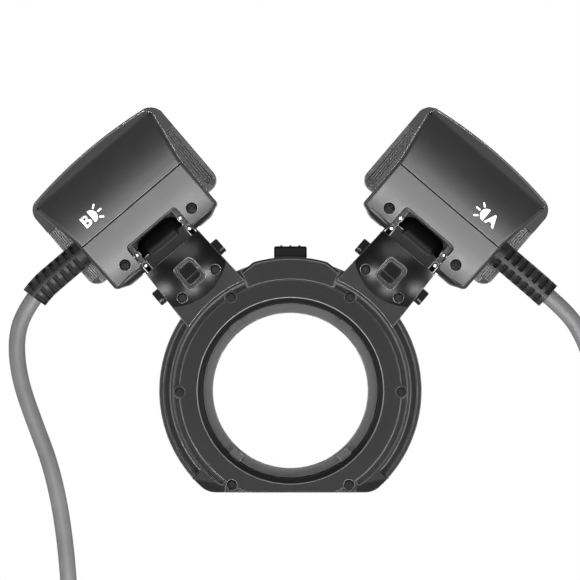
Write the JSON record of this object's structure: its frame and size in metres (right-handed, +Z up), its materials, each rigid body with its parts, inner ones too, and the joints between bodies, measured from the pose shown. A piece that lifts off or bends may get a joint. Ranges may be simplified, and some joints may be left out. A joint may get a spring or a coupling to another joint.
{
  "type": "macro twin flash",
  "caption": "Ring that clips on a lens front and carries two sliding, tilting flash heads, each with a slotted strain relief and a hanging cord.",
  "frame": {"origin": "on the lens axis, at the shoulder of the ring that the lens front seats on", "axes": "-Y towards the viewer along the lens axis, +Y towards the subject, +Z up, +X to the viewer's right"},
  "size_m": [0.2298, 0.0573, 0.4359],
  "materials": {
    "ring_plastic": "fine moulded grain, charcoal",
    "plate_metal": "satin black paint",
    "front_metal": "matte black paint",
    "screw_steel": "blackened",
    "button_plastic": "smooth black",
    "hook_steel": "plain",
    "spring_steel": "plain wire",
    "rack_brass": "plain",
    "holder_gloss": "semi-gloss black",
    "holder_black": "smooth black",
    "pin_steel": "turned",
    "head_plastic": "fine satin grain, dark grey",
    "saddle_metal": "black paint",
    "window_clear": "clear, ribbed",
    "reflector_bright": "polished",
    "tube_glass": "clear",
    "lamp_clear": "clear",
    "board_green": "lacquered",
    "coil_copper": "enamelled wire",
    "relief_rubber": "matte",
    "cord_rubber": "matte",
    "plug_black": "satin"
  },
  "bodies": {
    "ring": {"ring_body": "ring_plastic", "rear_plate": "plate_metal", "front_ring": "front_metal", "plate_screws": "screw_steel", "release_spring": "spring_steel", "lower_hooks": "hook_steel", "index_racks": "rack_brass"},
    "release": {"release_button": "button_plastic", "release_yoke": "hook_steel"},
    "upper_hook_left": {"upper_hook_left": "hook_steel"},
    "upper_hook_right": {"upper_hook_right": "hook_steel"},
    "left_holder": {"left_holder_cover": "holder_gloss", "left_holder_frame": "holder_black", "left_holder_screws": "screw_steel", "left_hinge_pin": "pin_steel", "left_index_plunger": "pin_steel", "left_latch_spring": "spring_steel", "left_side_springs": "spring_steel"},
    "left_latch": {"left_latch_button": "button_plastic"},
    "left_inner": {"left_inner_button": "button_plastic"},
    "left_outer": {"left_outer_button": "button_plastic"},
    "left_head": {"left_rear_shell": "head_plastic", "left_lower_cover": "head_plastic", "left_case_screws": "screw_steel", "left_hinge_saddle": "saddle_metal", "left_front_case": "head_plastic", "left_front_window": "window_clear", "left_reflector": "reflector_bright", "left_flash_tube": "tube_glass", "left_focus_lamp": "lamp_clear", "left_circuit_board": "board_green", "left_trigger_coil": "coil_copper", "left_cord_relief": "relief_rubber", "left_cord": "cord_rubber", "left_plug": "plug_black"},
    "right_holder": {"right_holder_cover": "holder_gloss", "right_holder_frame": "holder_black", "right_holder_screws": "screw_steel", "right_hinge_pin": "pin_steel", "right_index_plunger": "pin_steel", "right_latch_spring": "spring_steel", "right_side_springs": "spring_steel"},
    "right_latch": {"right_latch_button": "button_plastic"},
    "right_inner": {"right_inner_button": "button_plastic"},
    "right_outer": {"right_outer_button": "button_plastic"},
    "right_head": {"right_rear_shell": "head_plastic", "right_lower_cover": "head_plastic", "right_case_screws": "screw_steel", "right_hinge_saddle": "saddle_metal", "right_front_case": "head_plastic", "right_front_window": "window_clear", "right_reflector": "reflector_bright", "right_flash_tube": "tube_glass", "right_focus_lamp": "lamp_clear", "right_circuit_board": "board_green", "right_trigger_coil": "coil_copper", "right_cord_relief": "relief_rubber", "right_cord": "cord_rubber", "right_plug": "plug_black"}
  },
  "joints": [
    {"name": "release_press", "type": "slide", "parent": "ring", "child": "release", "axis": [0, 0, -1], "range_m": [0, 0.002], "stiffness_N_per_m": 800, "springref_m": -0.001, "deforming": ["release_spring"]},
    {"name": "upper_hook_left_slide", "type": "slide", "parent": "ring", "child": "upper_hook_left", "axis": [-0.6428, 0, 0.766], "range_m": [0, 0.0016]},
    {"name": "upper_hook_right_slide", "type": "slide", "parent": "ring", "child": "upper_hook_right", "axis": [0.6428, 0, 0.766], "range_m": [0, 0.0016]},
    {"name": "left_orbit", "type": "hinge", "parent": "ring", "child": "left_holder", "pos_m": [0, -0.001, 0], "axis": [0, -1, 0], "range_deg": [0, 80]},
    {"name": "left_tilt", "type": "hinge", "parent": "left_holder", "child": "left_head", "pos_m": [-0.04773, -0.005, 0.05589], "axis": [-0.7604, 0, -0.6494], "range_deg": [-30, 45]},
    {"name": "left_latch_press", "type": "slide", "parent": "left_holder", "child": "left_latch", "axis": [0, 1, 0], "range_m": [0, 0.0012], "stiffness_N_per_m": 600, "springref_m": -0.0008, "deforming": ["left_latch_spring"]},
    {"name": "left_inner_press", "type": "slide", "parent": "left_holder", "child": "left_inner", "axis": [-0.7604, 0, -0.6494], "range_m": [0, 0.0014], "stiffness_N_per_m": 600, "springref_m": -0.0008, "deforming": ["left_side_springs"]},
    {"name": "left_outer_press", "type": "slide", "parent": "left_holder", "child": "left_outer", "axis": [0.7604, 0, 0.6494], "range_m": [0, 0.0014], "stiffness_N_per_m": 600, "springref_m": -0.0008, "deforming": ["left_side_springs"]},
    {"name": "right_orbit", "type": "hinge", "parent": "ring", "child": "right_holder", "pos_m": [0, -0.001, 0], "axis": [0, 1, 0], "range_deg": [0, 80]},
    {"name": "right_tilt", "type": "hinge", "parent": "right_holder", "child": "right_head", "pos_m": [0.04773, -0.005, 0.05589], "axis": [-0.7604, 0, 0.6494], "range_deg": [-30, 45]},
    {"name": "right_latch_press", "type": "slide", "parent": "right_holder", "child": "right_latch", "axis": [0, 1, 0], "range_m": [0, 0.0012], "stiffness_N_per_m": 600, "springref_m": -0.0008, "deforming": ["right_latch_spring"]},
    {"name": "right_inner_press", "type": "slide", "parent": "right_holder", "child": "right_inner", "axis": [0.7604, 0, -0.6494], "range_m": [0, 0.0014], "stiffness_N_per_m": 600, "springref_m": -0.0008, "deforming": ["right_side_springs"]},
    {"name": "right_outer_press", "type": "slide", "parent": "right_holder", "child": "right_outer", "axis": [-0.7604, 0, 0.6494], "range_m": [0, 0.0014], "stiffness_N_per_m": 600, "springref_m": -0.0008, "deforming": ["right_side_springs"]}
  ],
  "couplings": [
    {"joint": "upper_hook_left_slide", "follows": "release_press", "ratio": 0.8},
    {"joint": "upper_hook_right_slide", "follows": "release_press", "ratio": 0.8}
  ]
}
